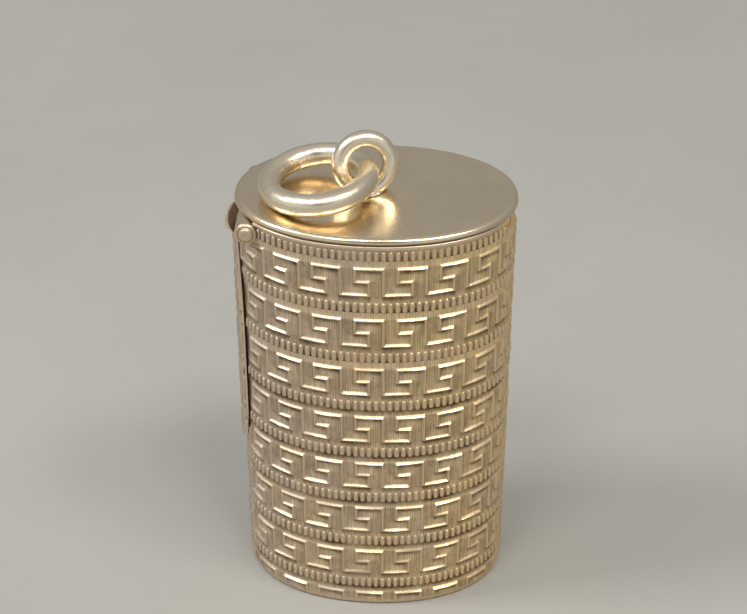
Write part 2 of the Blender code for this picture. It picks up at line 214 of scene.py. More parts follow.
def carve(obj, *cutters, operation="DIFFERENCE", smooth=38):
    """Cuts (points, faces) shapes from obj and keeps the result as its mesh."""
    made = [new_object("cutter", new_mesh("cutter", *shape)) for shape in cutters]
    for cutter in made:
        modifier = obj.modifiers.new("carve", "BOOLEAN")
        modifier.operation = operation
        modifier.solver = "MANIFOLD"
        modifier.object = cutter
    apply_modifiers(obj)
    for cutter in made:
        bpy.data.objects.remove(cutter)
    shade(obj.data, smooth)
    return obj


def bevel(obj, width, segments=2, smooth=38):
    modifier = obj.modifiers.new("bevel", "BEVEL")
    modifier.width = width * MM
    modifier.segments = segments
    modifier.limit_method = "ANGLE"
    modifier.angle_limit = radians(40)
    apply_modifiers(obj)
    shade(obj.data, smooth)
    return obj


def skin(rings, closed=False):
    """Points and faces over rings of points. Closed joins the last ring to the first."""
    count, total = len(rings[0]), len(rings)
    faces = []
    for a in range(total if closed else total - 1):
        first, second = a * count, (a + 1) % total * count
        for i in range(count):
            j = (i + 1) % count
            faces.append((first + i, first + j, second + j, second + i))
    if not closed:
        faces.append(tuple(range(count)))
        faces.append(tuple(range((total - 1) * count, total * count)))
    return np.concatenate(rings), faces


def prism(outline, axis, low, high):
    """An outline pushed along X or Y. Its points are (y, z) for X and (x, z) for Y."""
    outline = np.array(outline)
    rings = []
    for along in (low, high):
        u, v, w = outline[:, 0], outline[:, 1], np.full(len(outline), along)
        rings.append(np.column_stack([w, u, v] if axis == "X" else [u, w, v]))
    return skin(rings)


def arc(centre, radius, start, end, steps):
    angles = np.radians(np.linspace(start, end, steps + 1))
    return [(centre[0] + radius * cos(a), centre[1] + radius * sin(a)) for a in angles]


def turned_along_y(profile, x, z, closed=False, segments=64):
    """A shape turned about a line along Y. The profile is (radius, y) pairs."""
    angle = 2 * pi * np.arange(segments) / segments
    rings = [np.column_stack([x + r * np.cos(angle), np.full(segments, y), z + r * np.sin(angle)])
             for r, y in profile]
    return skin(rings, closed)


def torus(centre, radius, wire, u, v, around_count=160, wire_count=40):
    """A ring of round wire in the plane of u and v. The wire may vary with the angle."""
    normal = np.cross(u, v)
    b = 2 * pi * np.arange(wire_count) / wire_count
    rings = []
    for a in 2 * pi * np.arange(around_count) / around_count:
        out = u * cos(a) + v * sin(a)
        thick = wire(a)
        across = np.outer(radius + thick * np.cos(b), out)
        rings.append(centre + across + np.outer(thick * np.sin(b), normal))
    return skin(rings, True)


def wobble(points, size, amount, seed=0.0):
    """A slow unevenness of hand-worked metal: one number for each point."""
    return np.array([amount * noise.noise(Vector((p[0] / size, p[1] / size, p[2] / size + seed)))
                     for p in points])


# ---- openings, the same as in the frame ----
def slot_shape():
    heel_start, top = HEEL_BOTTOM + HEEL_BEVEL, LID_TOP + MARGIN
    outline = arc((0, SLOT_BOTTOM + SLOT_HALF), SLOT_HALF, 180, 360, 36)
    outline += [(SLOT_HALF, HEEL_BOTTOM), (HEEL_HALF, heel_start), (HEEL_HALF, top),
                (-HEEL_HALF, top), (-HEEL_HALF, heel_start), (-SLOT_HALF, HEEL_BOTTOM)]
    return prism(outline, "X", -HALF_WIDTH - MARGIN, -HALF_WIDTH + 4)


def knuckle_seat_shape():
    seat = KNUCKLE_RADIUS + SEAT_GAP
    return turned_along_y([(seat, -HALF_DEPTH), (seat, HALF_DEPTH)], HINGE[0], HINGE[2])


def notch_shape():
    centre = (0, RIM_HIGH[2] - NOTCH_DEPTH + NOTCH_RADIUS)
    return prism(arc(centre, NOTCH_RADIUS, 0, 355, 71), "X", HALF_WIDTH - 5, HALF_WIDTH + MARGIN)


# ---- the raised pattern ----
# Each stroke of a key runs between two points of a grid three cells wide and two high.
KEY_BARS = (((0, 0), (2, 0)), ((1, 1), (2, 1)), ((1, 2), (3, 2)))
KEY_UPRIGHTS = (((0, 0), (0, 2)), ((2, 0), (2, 1)), ((1, 1), (1, 2)))


def wrapped(value, period):
    return (value + period / 2) % period - period / 2


def key_distance(along, up, strokes):
    """Distance from the nearest stroke. up is the height above the key's middle bar."""
    nearest = np.full(np.shape(along), PITCH)
    for (u0, v0), (u1, v1) in strokes:
        du = np.abs(wrapped(along - (u0 + u1) / 2 * CELL_WIDTH, PITCH)) - (u1 - u0) / 2 * CELL_WIDTH
        dv = np.abs(up - ((v0 + v1) / 2 - 1) * CELL_HEIGHT) - (v1 - v0) / 2 * CELL_HEIGHT
        nearest = np.minimum(nearest, np.maximum(np.maximum(du, dv), 0))
    return nearest


def bead_distance(along, up):
    du = wrapped(along, BEAD_PITCH)
    dv = np.maximum(np.abs(up) - (BEAD_HALF - BEAD_FOOT), 0)
    return np.hypot(du, dv)


def roof(distance):
    """A ridge's share of its height: straight slopes up to a narrow crest."""
    return np.clip((RIDGE_FOOT - distance) / (RIDGE_FOOT - RIDGE_FLAT), 0, 1)


def dome(distance):
    """A bead's share of its height."""
    return np.sqrt(np.clip(1 - (distance / BEAD_FOOT) ** 2, 0, 1))


def relief(share, z):
    """Height of the pattern, and how much painted shade lies under its ledges and in the gaps between its
    beads, at points round the case.
    """
    along = share * LENGTH - (LENGTH / 4 + KEY_START - CELL_WIDTH)
    key_up = wrapped(CELL_HEIGHT - TOP_BAR_Z + z, ROW_PITCH)
    bead_up = wrapped(BEAD_DEPTH - TOP_BAR_Z + z, ROW_PITCH)
    bars = roof(key_distance(along, key_up, KEY_BARS))
    key = np.maximum(bars, UPRIGHT_SHARE * roof(key_distance(along, key_up, KEY_UPRIGHTS)))
    # Painted shade: a dark band a little below every stroke of the keys, and in the gaps between the beads,
    # heavier towards the lower end of the bead row.
    below_key = key_distance(along, key_up + SHADE_DROP, KEY_BARS + KEY_UPRIGHTS)
    bead = dome(bead_distance(along, bead_up))
    under_key = np.exp(-(below_key / SHADE_REACH) ** 2) * (1 - key)
    between_beads = (np.abs(bead_up) < BEAD_HALF) * (1 - bead) * (0.65 - 0.45 * bead_up / BEAD_HALF)
    height = np.maximum(RIDGE_HEIGHT * key, BEAD_HEIGHT * bead)
    fade = np.clip((z - BASE_FADE) / BASE_FADE, 0, 1)
    return height * fade, np.maximum(under_key, between_beads) * fade


def key_columns():
    steps = [cell * CELL_WIDTH - line for cell in range(3) for line in RIDGE_LINES]
    return pattern_shares([motif * PITCH + step for motif in range(MOTIFS) for step in steps])


def bead_columns():
    beads = range(MOTIFS * BEADS)
    return pattern_shares([bead * BEAD_PITCH + line for bead in beads for line in BEAD_SIDES])


def pattern_shares(alongs):
    """Shares of the way round where the pattern's own lines fall, with one at the seam."""
    shares = np.mod((np.array(alongs) + LENGTH / 4 + KEY_START - CELL_WIDTH) / LENGTH, 1)
    shares = np.sort(shares)
    return np.concatenate([[0.0], shares[(shares > 1e-4) & (shares < 1 - 1e-4)]])


def pattern_rows(low, high):
    """(z, columns) pairs from the top down, with a row on each of the pattern's lines."""
    keys, beads = key_columns(), bead_columns()
    rows = [(high, beads)]
    for band in range(BANDS):
        top_bar = TOP_BAR_Z - band * ROW_PITCH
        rows += [(top_bar + ROW_PITCH - BEAD_DEPTH + line, beads) for line in BEAD_LINES]
        for bar in range(3):
            rows += [(top_bar - bar * CELL_HEIGHT + line, keys) for line in RIDGE_LINES]
            if bar < 2:
                rows.append((top_bar - (bar + 0.5) * CELL_HEIGHT, keys))
    return [row for row in rows if low < row[0] <= high]


class Patchwork:
    """Collects rows of points, the faces stitched between them, and their pattern values."""

    def __init__(self):
        self.points, self.faces, self.relief, self.grime, self.wraps = [], [], [], [], []
        self.rows = []

    def add_row(self, shares, points, relief=0.0, grime=0.0, z=None):
        self.rows.append((len(self.points), shares, points[0][2] if z is None else z))
        self.points += [tuple(p) for p in points]
        self.relief += list(np.broadcast_to(relief, len(points)))
        self.grime += list(np.broadcast_to(grime, len(points)))

    def corner(self, row, index):
        """A row's point and its place on the unrolled wall. Past the last it is the first."""
        start, shares, z = row
        lap, at = divmod(index, len(shares))
        return start + at, ((shares[at] + lap) * LENGTH, z)

    def stitch(self, upper, lower):
        """Quads where both rows have the same columns, else triangles zipped between them."""
        a, b = upper[1], lower[1]
        i = j = 0
        same = len(a) == len(b) and np.allclose(a, b)
        while i < len(a) or j < len(b):
            next_a = (a[i + 1] if i + 1 < len(a) else 1.0) if i < len(a) else 2.0
            next_b = (b[j + 1] if j + 1 < len(b) else 1.0) if j < len(b) else 2.0
            if same:
                ring = [(upper, i), (lower, j), (lower, j + 1), (upper, i + 1)]
                i, j = i + 1, j + 1
            elif next_a <= next_b:
                ring = [(upper, i), (lower, j), (upper, i + 1)]
                i += 1
            else:
                ring = [(upper, i), (lower, j), (lower, j + 1)]
                j += 1
            corners = [self.corner(*place) for place in ring]
            self.faces.append(tuple(index for index, _ in corners))
            self.wraps += [wrap for _, wrap in corners]

    def build(self, name):
        """The mesh, with its place on the unrolled wall and the pattern's values on it."""
        mesh = bpy.data.meshes.new(name)
        mesh.from_pydata([tuple(MM * c for c in p) for p in self.points], [], self.faces)
        layer = mesh.uv_layers.new(name="wrap")
        layer.data.foreach_set("uv", np.array(self.wraps, np.float32).ravel())
        for label, values in (("relief", self.relief), ("grime", self.grime)):
            made = mesh.attributes.new(label, "FLOAT", "POINT")
            made.data.foreach_set("value", np.array(values, np.float32))
        return mesh

    def tube(self, name):
        """A tube wall: the rows run down the outside and come back up the inside."""
        for upper, lower in zip(self.rows, self.rows[1:] + self.rows[:1]):
            self.stitch(upper, lower)
        return self.build(name)

    def slab(self, name, window):
        """A solid with flat ends, from rows whose shares cover four windows of the wall."""
        for upper, lower in zip(self.rows, self.rows[1:]):
            self.stitch(upper, lower)
        self.wraps = [(u * 4 * window, v) for u, v in self.wraps]
        for start, shares, z in (self.rows[0], self.rows[-1]):
            self.faces.append(tuple(range(start, start + len(shares))))
            self.wraps += [(share * LENGTH, z) for share in shares]
        mesh = self.build(name)
        point_out(mesh)
        return mesh


def flap_half(z):
    """Half the flap's width at a height."""
    rise = np.clip((z - FLAP_LOW[2]) / FLAP_ROUND, 0, 1)
    narrowing = np.clip((z - FLAP_TAPER) / (FLARE_START - FLAP_TAPER), 0, 1)
    lip = np.clip((z - FLARE_START) / (FLAP_HIGH[2] - FLARE_START), 0, 1)
    taper = (FLAP_HALF - FLAP_NECK_HALF) * narrowing ** 2 + (FLAP_NECK_HALF - FLAP_TOP_HALF) * lip ** 2
    return FLAP_HALF * np.sqrt(1 - (1 - rise) ** 2) - taper


def open_wall(x, y, z):
    """1 on open wall, 0 where the flap covers the shell and the pattern has to lie low."""
    covered = (x < 0) & (z > FLAP_LOW[2] - 0.3) & (z < FLAP_HIGH[2] + 0.2)
    return np.where(covered, np.clip((np.abs(y) - flap_half(z) - 0.08) / 0.15, 0, 1), 1.0)


def patterned_shell(mat):
    patch = Patchwork()
    for z, shares in pattern_rows(BASE_FADE, SHELL_TOP):
        height, grime = relief(shares, z)
        level = np.full(len(shares), z)
        smooth = np.column_stack([*around(shares), level])
        wave = wobble(smooth, 6.0, 0.02)
        wear = 1 + wobble(smooth, 2.5, 0.30, 11.0)
        lift = (height * wear + wave) * open_wall(*smooth.T)
        points = np.column_stack([*around(shares, GROUND_OFFSET + lift), level])
        patch.add_row(shares, points, height / RIDGE_HEIGHT, grime)
    keys = key_columns()
    for z, drop in ((0.30, 0.0), (0.16, 0.04), (0.06, 0.12), (0.0, 0.24)):
        x, y = around(keys, GROUND_OFFSET - drop)
        patch.add_row(keys, np.column_stack([x, y, np.full(len(x), z)]), 0.55)
    inside = np.arange(OVAL_COLUMNS) / OVAL_COLUMNS
    for z in (0.0, SHELL_TOP):
        patch.add_row(inside, oval_ring(GROUND_OFFSET - SHELL_WALL, z))
    shell = new_object("patterned_shell", patch.tube("patterned_shell"))
    carve(shell, slot_shape(), knuckle_seat_shape(), notch_shape(), smooth=50)
    return dress(shell, mat, "case", ["body_shell"])


# ---- materials ----
def new_material(name, metallic, roughness):
    mat = bpy.data.materials.new(name)
    mat.use_nodes = True
    shader = mat.node_tree.nodes["Principled BSDF"]
    shader.inputs["Metallic"].default_value = metallic
    shader.inputs["Roughness"].default_value = roughness
    return mat, mat.node_tree, shader


def add_node(tree, kind, values=(), **settings):
    """A shader node. values fill its inputs in order: a number, a tuple or another socket."""
    made = tree.nodes.new("ShaderNode" + kind)
    for key, value in settings.items():
        setattr(made, key, value)
    for socket, value in zip(made.inputs, values):
        if value is None:
            continue
        if isinstance(value, bpy.types.NodeSocket):
            tree.links.new(value, socket)
        else:
            socket.default_value = value
    return made


def vector_math(tree, operation, first, second):
    return add_node(tree, "VectorMath", (first, second), operation=operation).outputs


def coordinate(tree, vector, axis):
    """One of a vector's three numbers: 0 is x, 1 is y and 2 is z."""
    return add_node(tree, "SeparateXYZ", (vector,)).outputs[axis]


def millimetres(tree, stretch=(1, 1, 1), turn=0.0):
    """The piece's own coordinates in millimetres, turned about Z and then stretched."""
    coords = add_node(tree, "TexCoord").outputs["Object"]
    turned = add_node(tree, "VectorRotate", (coords, (0, 0, 0), (0, 0, 1), turn)).outputs[0]
    scale = tuple(part / MM for part in stretch)
    return vector_math(tree, "MULTIPLY", turned, scale)[0]


def noise_at(tree, vector, scale, detail=3.0, rough=0.55):
    """Noise about 0.5 whose blotches are 1 / scale millimetres across."""
    made = add_node(tree, "TexNoise", noise_dimensions="3D")
    tree.links.new(vector, made.inputs["Vector"])
    made.inputs["Scale"].default_value = scale
    made.inputs["Detail"].default_value = detail
    made.inputs["Roughness"].default_value = rough
    return made.outputs[0]


def remap(tree, value, from_low, from_high, to_low=0.0, to_high=1.0):
    return add_node(tree, "MapRange", (value, from_low, from_high, to_low, to_high)).outputs[0]


def math(tree, operation, *values):
    return add_node(tree, "Math", values, operation=operation).outputs[0]


def mix(tree, factor, first, second, blend="MIX"):
    made = tree.nodes.new("ShaderNodeMix")
    made.data_type = "RGBA"
    made.blend_type = blend
    for socket, value in ((made.inputs[0], factor), (made.inputs[6], first), (made.inputs[7], second)):
        if isinstance(value, bpy.types.NodeSocket):
            tree.links.new(value, socket)
        elif isinstance(value, tuple):
            socket.default_value = (*value, 1)
        else:
            socket.default_value = value
    return made.outputs[2]


def scratches(tree, turns, scale, thinness=24.0, bar=0.66):
    """Fine straight scratches in several directions: 1 in a scratch, 0 elsewhere."""
    total = None
    for turn in turns:
        vector = millimetres(tree, (1.0, thinness, 1.0), turn)
        line = remap(tree, noise_at(tree, vector, scale, 1.0), bar, bar + 0.07)
        total = line if total is None else math(tree, "MAXIMUM", total, line)
    return total


def bump(tree, shader, height, depth, strength=1.0):
    """Raises the surface by height times depth millimetres."""
    made = add_node(tree, "Bump")
    made.inputs["Strength"].default_value = strength
    made.inputs["Distance"].default_value = depth * MM
    tree.links.new(height, made.inputs["Height"])
    tree.links.new(made.outputs[0], shader.inputs["Normal"])


def attribute(tree, name):
    made = add_node(tree, "Attribute")
    made.attribute_name = name
    return made.outputs["Fac"]


def patterned_silver():
    """Struck silver: worn ridges over a ground streaked with upright hatching and toned brown, with painted
    shade under the bars and between the beads.
    """
    mat, tree, shader = new_material("patterned_silver", 1.0, 0.4)
    link = tree.links.new
    place = millimetres(tree)
    height, grime = attribute(tree, "relief"), attribute(tree, "grime")
    unrolled = add_node(tree, "UVMap")
    unrolled.uv_map = "wrap"
    drawn = vector_math(tree, "MULTIPLY", unrolled.outputs[0], (1.0, 0.10, 1.0))[0]
    streak = noise_at(tree, drawn, 3.4, 2.0)
    across = coordinate(tree, unrolled.outputs[0], 0)
    drift = math(tree, "MULTIPLY", noise_at(tree, place, 0.9, 2.0), 5.0)
    phase = math(tree, "ADD", math(tree, "MULTIPLY", across, 2 * pi / HATCH_PITCH), drift)
    hatch = math(tree, "SINE", phase)
    hatch = remap(tree, math(tree, "ADD", math(tree, "MULTIPLY", hatch, 0.13), streak), 0.30, 0.75)
    cloud = noise_at(tree, place, 0.22, 3.0)
    speck = noise_at(tree, place, 2.2, 4.0, 0.65)
    # Colour shifts across the case: greyer at -X, warmer and a little brighter at +X, with a slow cloud of
    # variation.
    side_tint = remap(tree, coordinate(tree, place, 0), -11.0, 11.0)
    side_tint = math(tree, "ADD", side_tint, remap(tree, cloud, 0.35, 0.65, -0.25, 0.25))
    ground = mix(tree, side_tint, (0.88, 0.74, 0.60), (1.0, 0.79, 0.46))
    ground = mix(tree, remap(tree, hatch, 0.0, 1.0, 0.48, 0.0), ground, (0.34, 0.22, 0.13))
    ground = mix(tree, remap(tree, speck, 0.55, 0.80, 0.0, 0.35), ground, (0.30, 0.20, 0.12))
    # Painted shade under the bars and between the beads, mottled by noise, darkens the ground here.
    mottled_shade = math(tree, "MULTIPLY", grime, remap(tree, speck, 0.3, 0.7, 0.55, 1.0))
    mottled_shade = math(tree, "MULTIPLY", mottled_shade, remap(tree, noise_at(tree, place, 0.35, 3.0), 0.38, 0.60, 0.7, 1.3))
    ground = mix(tree, mottled_shade, ground, (0.14, 0.08, 0.042))
    worn = remap(tree, math(tree, "ADD", height, remap(tree, speck, 0.3, 0.7, -0.15, 0.15)), 0.15, 0.8)
    colour = mix(tree, worn, ground, mix(tree, side_tint, (0.71, 0.60, 0.47), (0.82, 0.63, 0.40)))
    link(colour, shader.inputs["Base Color"])
    link(remap(tree, worn, 0.0, 1.0, 0.52, 0.31), shader.inputs["Roughness"])
    relief_share = remap(tree, height, 0.0, 0.6, 1.0, 0.25)
    grain = math(tree, "ADD", math(tree, "MULTIPLY", hatch, relief_share),
                 remap(tree, noise_at(tree, place, 7.0, 3.0), 0.0, 1.0, -0.3, 0.3))
    bump(tree, shader, grain, 0.018)
    return mat


def plain_silver(name, tone, dark, roughness, scratch_scale=0.9, turns=(0.3, 1.25, 2.2), wear=0.25,
                 dents=0.0, joint=None):
    """Worn polished silver: cloudy, finely scratched, with specks and, at a joint's height, a band of
    painted shade.
    """
    mat, tree, shader = new_material(name, 1.0, roughness)
    link = tree.links.new
    place = millimetres(tree)
    cloud = noise_at(tree, place, 0.16, 3.0, 0.5)
    speck = noise_at(tree, place, 3.0, 4.0, 0.7)
    bloom = tuple(0.74 * t + 0.26 * d for t, d in zip(tone, dark))
    colour = mix(tree, remap(tree, cloud, 0.35, 0.68), tone, bloom)
    colour = mix(tree, remap(tree, speck, 0.62, 0.82, 0.0, wear), colour, dark)
    lines = scratches(tree, turns, scratch_scale)
    colour = mix(tree, math(tree, "MULTIPLY", lines, wear * 0.5), colour, dark)
    if joint is not None:
        # Painted shade: a dark band from just under the joint's height to a little above it, standing in
        # for the shaded gap under the lid's edge.
        height = coordinate(tree, place, 2)
        joint_shade = math(tree, "MULTIPLY", remap(tree, height, joint + 0.16, joint, 0.0, 0.9),
                     remap(tree, height, joint - 0.04, joint - 0.01))
        colour = mix(tree, joint_shade, colour, (0.10, 0.06, 0.035))
    link(colour, shader.inputs["Base Color"])
    rough = math(tree, "ADD", remap(tree, cloud, 0.3, 0.7, roughness * 0.88, roughness * 1.14),
                 math(tree, "MULTIPLY", lines, 0.06))
    link(rough, shader.inputs["Roughness"])
    grain = remap(tree, noise_at(tree, place, 6.0, 3.0), 0, 1, 0.0, 0.5)
    grain = math(tree, "SUBTRACT", grain, math(tree, "MULTIPLY", lines, 0.35))
    dent = noise_at(tree, place, 0.9, 2.0)
    raised = math(tree, "ADD", math(tree, "MULTIPLY", grain, 0.002), math(tree, "MULTIPLY", dent, dents))
    bump(tree, shader, raised, 1.0)
    return mat


def gilt():
    mat, tree, shader = new_material("gilt", 1.0, 0.24)
    link = tree.links.new
    place = millimetres(tree)
    cloud = noise_at(tree, place, 0.25, 3.0)
    thin = remap(tree, noise_at(tree, place, 1.1, 5.0, 0.7), 0.60, 0.74)
    colour = mix(tree, remap(tree, cloud, 0.35, 0.65), (0.93, 0.70, 0.33), (0.86, 0.60, 0.27))
    colour = mix(tree, thin, colour, (0.80, 0.73, 0.60))
    lines = scratches(tree, (0.1, 1.4), 0.8)
    link(colour, shader.inputs["Base Color"])
    link(math(tree, "ADD", remap(tree, cloud, 0.3, 0.7, 0.20, 0.33), math(tree, "MULTIPLY", lines, 0.1)),
         shader.inputs["Roughness"])
    bump(tree, shader, math(tree, "SUBTRACT", noise_at(tree, place, 5.0), lines), 0.004)
    return mat


def steel():
    """Drawn and polished needle steel, its marks running along the needle."""
    mat, tree, shader = new_material("needle_steel", 1.0, 0.16)
    link = tree.links.new
    along = millimetres(tree, (14.0, 14.0, 0.35))
    streak = noise_at(tree, along, 1.0, 3.0)
    spot = remap(tree, noise_at(tree, millimetres(tree), 3.5, 4.0, 0.7), 0.66, 0.76)
    colour = mix(tree, remap(tree, streak, 0.3, 0.7), (0.78, 0.79, 0.80), (0.66, 0.67, 0.69))
    link(mix(tree, spot, colour, (0.36, 0.27, 0.20)), shader.inputs["Base Color"])
    link(math(tree, "ADD", remap(tree, streak, 0.3, 0.7, 0.12, 0.24), math(tree, "MULTIPLY", spot, 0.3)),
         shader.inputs["Roughness"])
    bump(tree, shader, streak, 0.004)
    return mat


def felt():
    """Crimson wool felt: matted fibres with paler lint."""
    mat, tree, shader = new_material("wool_felt", 0.0, 0.95)
    link = tree.links.new
    place = millimetres(tree)
    matted = noise_at(tree, place, 2.4, 6.0, 0.75)
    fibre = noise_at(tree, millimetres(tree, (1.0, 7.0, 2.0), 0.7), 1.6, 4.0, 0.7)
    fade = noise_at(tree, place, 0.25, 2.0)
    colour = mix(tree, remap(tree, matted, 0.3, 0.7), (0.20, 0.018, 0.026), (0.36, 0.045, 0.055))
    colour = mix(tree, remap(tree, fibre, 0.6, 0.75, 0.0, 0.5), colour, (0.55, 0.16, 0.15))
    colour = mix(tree, remap(tree, fade, 0.4, 0.7, 0.0, 0.25), colour, (0.33, 0.13, 0.10))
    link(colour, shader.inputs["Base Color"])
    shader.inputs["Sheen Weight"].default_value = 0.5
    shader.inputs["Sheen Roughness"].default_value = 0.4
    bump(tree, shader, math(tree, "ADD", matted, fibre), 0.12)
    return mat


def floor_paper():
    mat, tree, shader = new_material("floor_paper", 0.0, 0.75)
    tone = noise_at(tree, millimetres(tree), 0.02, 4.0)
    colour = mix(tree, remap(tree, tone, 0.3, 0.7), (0.40, 0.405, 0.385), (0.44, 0.443, 0.42))
    tree.links.new(colour, shader.inputs["Base Color"])
    bump(tree, shader, noise_at(tree, millimetres(tree), 1.5, 3.0), 0.02)
    return mat


# ---- case ----
def base_plate(mat):
    edge = BASE_HIGH[0] - HALF_WIDTH
    low, high = BASE_LOW[2] + 0.03, BASE_HIGH[2]
    rings = disc_rings(edge - 0.12, low, low_to_edge=True)
    rings += [oval_ring(edge - 0.05, low + 0.02), oval_ring(edge, low + 0.09), oval_ring(edge, high - 0.05),
              oval_ring(edge - 0.05, high)]
    rings += disc_rings(edge - 0.12, high)
    return new_piece("base_plate_finished", skin(rings), mat, "case", ["base_plate"])


def disc_rings(offset, z, low_to_edge=False, wave=0.012, seed=0.0):
    """Rings that shrink from the edge to the middle of an oval face, with a slow wave in it."""
    rings = []
    for scale in np.linspace(1.0, 0.02, 26):
        ring = oval_ring(offset, z)
        ring[:, :2] *= scale
        ring[:, 2] += wobble(ring, 5.0, wave, seed) * min(1.0, (1 - scale) * 8)
        rings.append(ring)
    return rings[::-1] if low_to_edge else rings


def inner_liner(mat):
    outer = LINER_HIGH[1] - HALF_DEPTH
    inner = outer - 0.30
    low, high = LINER_LOW[2], LINER_HIGH[2]
    profile = [(outer, low), (outer, high - 0.10), (outer - 0.04, high - 0.03), (outer - 0.11, high),
               (inner + 0.11, high), (inner + 0.04, high - 0.03), (inner, high - 0.10)]
    profile += [(inner, z) for z in np.linspace(high - 2, low, 20)]
    rings = []
    for offset, z in profile:
        wave = wobble(oval_ring(offset, z), 5.0, 0.015, 3.0) if low < z < high - 1 else 0.0
        x, y = around(np.arange(OVAL_COLUMNS) / OVAL_COLUMNS, offset + wave)
        rings.append(np.column_stack([x, y, np.full(OVAL_COLUMNS, z)]))
    liner = new_object("liner_tube", new_mesh("liner_tube", *skin(rings, True)))
    carve(liner, slot_shape(), knuckle_seat_shape())
    return dress(liner, mat, "case", ["inner_liner"])


def mouth_rims(mat):
    low, high = RIM_LOW[2], RIM_HIGH[2]
    middle, half = (low + high) / 2, (high - low) / 2
    outer = [(-half + half * cos(a) * 0.9, middle + half * sin(a)) for a in np.linspace(-pi / 2, pi / 2, 9)]
    profile = outer + [(-0.5, high), (-0.5, low)]
    end = HINGE[0] + 0.6
    for side, name in ((-1, "front"), (1, "back")):
        rings = [oval_ring(offset, z, columns=480) for offset, z in profile]
        rim = new_object("mouth_wire_" + name, new_mesh("mouth_wire_" + name, *skin(rings, True)))
        reach = HALF_DEPTH + MARGIN
        box = [(end, low - MARGIN), (HALF_WIDTH + MARGIN, low - MARGIN),
               (HALF_WIDTH + MARGIN, high + MARGIN), (end, high + MARGIN)]
        carve(rim, prism(box, "Y", *sorted((0, side * reach))), operation="INTERSECT")
        carve(rim, knuckle_seat_shape(), notch_shape())
        dress(rim, mat, "case", ["mouth_rim_" + name])


def body_knuckles(mat):
    inner, outer = KNUCKLE_LOW[1], KNUCKLE_HIGH[1]
    r = KNUCKLE_RADIUS
    for side, name in ((-1, "front"), (1, "back")):
        profile = [(BORE_RADIUS, inner), (r - 0.04, inner), (r, inner + 0.04), (r, outer - 0.34),
                   (r - 0.03, outer - 0.22), (r - 0.10, outer - 0.12), (r - 0.19, outer - 0.06),
                   (r - 0.27, outer - 0.06), (r - 0.32, outer - 0.13), (r - 0.37, outer - 0.06),
                   (r - 0.44, outer - 0.01), (BORE_RADIUS, outer - 0.01)]
        shape = turned_along_y([(radius, side * y) for radius, y in profile], HINGE[0], HINGE[2], True)
        new_piece("knuckle_" + name, shape, mat, "case", ["body_knuckle_" + name], 30)


def hinge_pin(mat):
    low, high = corners("hinge_pin")
    tip, head = high[1], (high[0] - low[0]) / 2
    shaft, under = 0.35, KNUCKLE_HIGH[1] + 0.03
    half = [(0.03, tip - 0.10), (0.12, tip - 0.09), (0.20, tip - 0.03), (0.27, tip), (0.35, tip - 0.01),
            (0.40, tip - 0.05), (0.45, tip - 0.05),
            (head * 0.92, tip - 0.09), (head, under + 0.03), (head - 0.03, under), (shaft, under)]
    profile = [(r, -y) for r, y in half] + [(r, y) for r, y in reversed(half)]
    shape = turned_along_y(profile, HINGE[0], HINGE[2])
    new_piece("pin_with_heads", shape, mat, "case", ["hinge_pin"], 50)


# ---- contents ----
def felt_pad(mat):
    edge = PAD_HIGH[1] - HALF_DEPTH
    low, high = PAD_LOW[2], PAD_HIGH[2]
    top = high - 0.25
    rings = disc_rings(edge - 0.3, low, True, wave=0.0)
    for z in np.linspace(low + 0.3, top - 0.5, 20):
        rings.append(oval_ring(edge, z))
    for turn in np.linspace(0.2, 1, 5) * pi / 2:
        rings.append(oval_ring(edge - 0.6 + 0.6 * cos(turn), top - 0.5 + 0.5 * sin(turn)))
    rings += disc_rings(edge - 0.62, top, wave=0.0)
    points, faces = skin(rings)
    lumps = wobble(points, 1.6, 0.16) + wobble(points, 0.55, 0.07, 9.0)
    on_top, off_floor = points[:, 2] > top - 0.6, points[:, 2] > low + 0.2
    inward = -points * np.array([1, 1, 0]) / HALF_WIDTH * (np.abs(lumps) * off_floor)[:, None]
    points = points + np.where(on_top[:, None], np.outer(lumps, (0, 0, 1)), inward)
    for i in range(len(needle_nodes())):
        x, y = needle_place(i)[:2]
        near = np.exp(-((points[:, 0] - x) ** 2 + (points[:, 1] - y) ** 2) / 0.5)
        points[:, 2] -= 0.35 * near * (points[:, 2] > top - 0.6)
    fibres = felt_fibres(points[points[:, 2] > top - 0.4])
    faces = list(faces)
    for ribbon in fibres:
        start = len(points)
        points = np.concatenate([points, ribbon])
        faces += [(start + 2 * i, start + 2 * i + 1, start + 2 * i + 3, start + 2 * i + 2)
                  for i in range(len(ribbon) // 2 - 1)]
    pad = new_piece("felt_pad_fuzzy", (points, faces), mat, "case", ["felt_pad"], 60)


def felt_fibres(roots, count=900, width=0.025):
    """Loose wool fibres that curl out of the felt's top, each a narrow ribbon."""
    rng = np.random.default_rng(7)
    ribbons = []
    for root in roots[rng.integers(0, len(roots), count)]:
        heading, bend = rng.uniform(0, 2 * pi), rng.uniform(-2.2, 2.2)
        length = rng.uniform(0.5, 1.3)
        at, ribbon = root - np.array([0, 0, 0.03]), []
        for step in range(5):
            turn = heading + bend * step / 4
            ahead = np.array([cos(turn), sin(turn), 0.55 - 0.30 * step])
            aside = np.array([-sin(turn), cos(turn), 0]) * width / 2
            ribbon += [at - aside, at + aside]
            at = at + ahead * length / 5
        ribbons.append(np.array(ribbon))
    return ribbons


def needle_nodes():
    return sorted(name for name in frame["nodes"] if name.startswith("needle_"))


def needle_place(index):
    low, high = corners(needle_nodes()[index])
    middle = (low + high) / 2
    return middle[0], middle[1], low[2], high[2]


